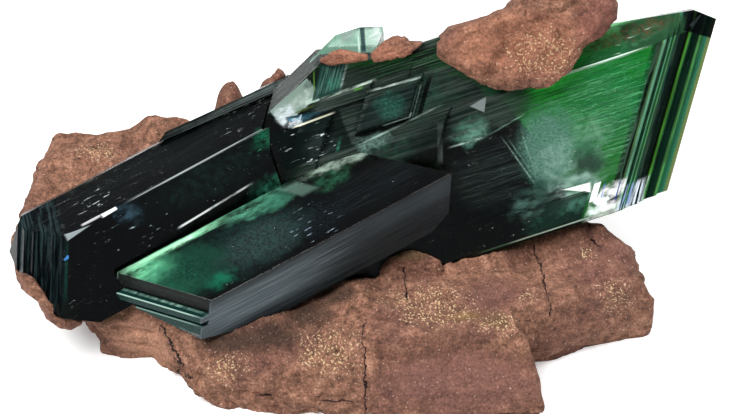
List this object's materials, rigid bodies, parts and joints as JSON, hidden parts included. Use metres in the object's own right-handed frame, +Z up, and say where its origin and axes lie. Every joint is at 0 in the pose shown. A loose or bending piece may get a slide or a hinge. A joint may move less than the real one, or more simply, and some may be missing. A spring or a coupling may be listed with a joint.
{
  "type": "vivianite specimen",
  "caption": "Cluster of dark green, glassy, tabular vivianite crystals on a lump of reddish-brown granular iron-clay rock",
  "frame": {"origin": "Centre of the bounding box in X and Y, on the flat cut base of the matrix rock at z = 0", "axes": "+X runs along the crystals from the closed left end to the free end of the large blade, +Z is up from the flat base, and the shown face looks to -Y and up"},
  "size_m": [0.0902, 0.0442, 0.0394],
  "materials": {
    "vivianite": "polished",
    "clear_vivianite": "polished",
    "iron_clay": "matte"
  },
  "bodies": {
    "root": {"large_blade_crystal": "vivianite", "left_prism_crystal": "vivianite", "front_crystal": "vivianite", "back_blade_crystal": "vivianite", "clear_crystal": "clear_vivianite", "upper_matrix_chunk": "iron_clay", "top_matrix_sliver_left": "iron_clay", "top_matrix_sliver_right": "iron_clay", "tip_matrix_crust": "iron_clay", "matrix_rock": "iron_clay"}
  },
  "joints": []
}
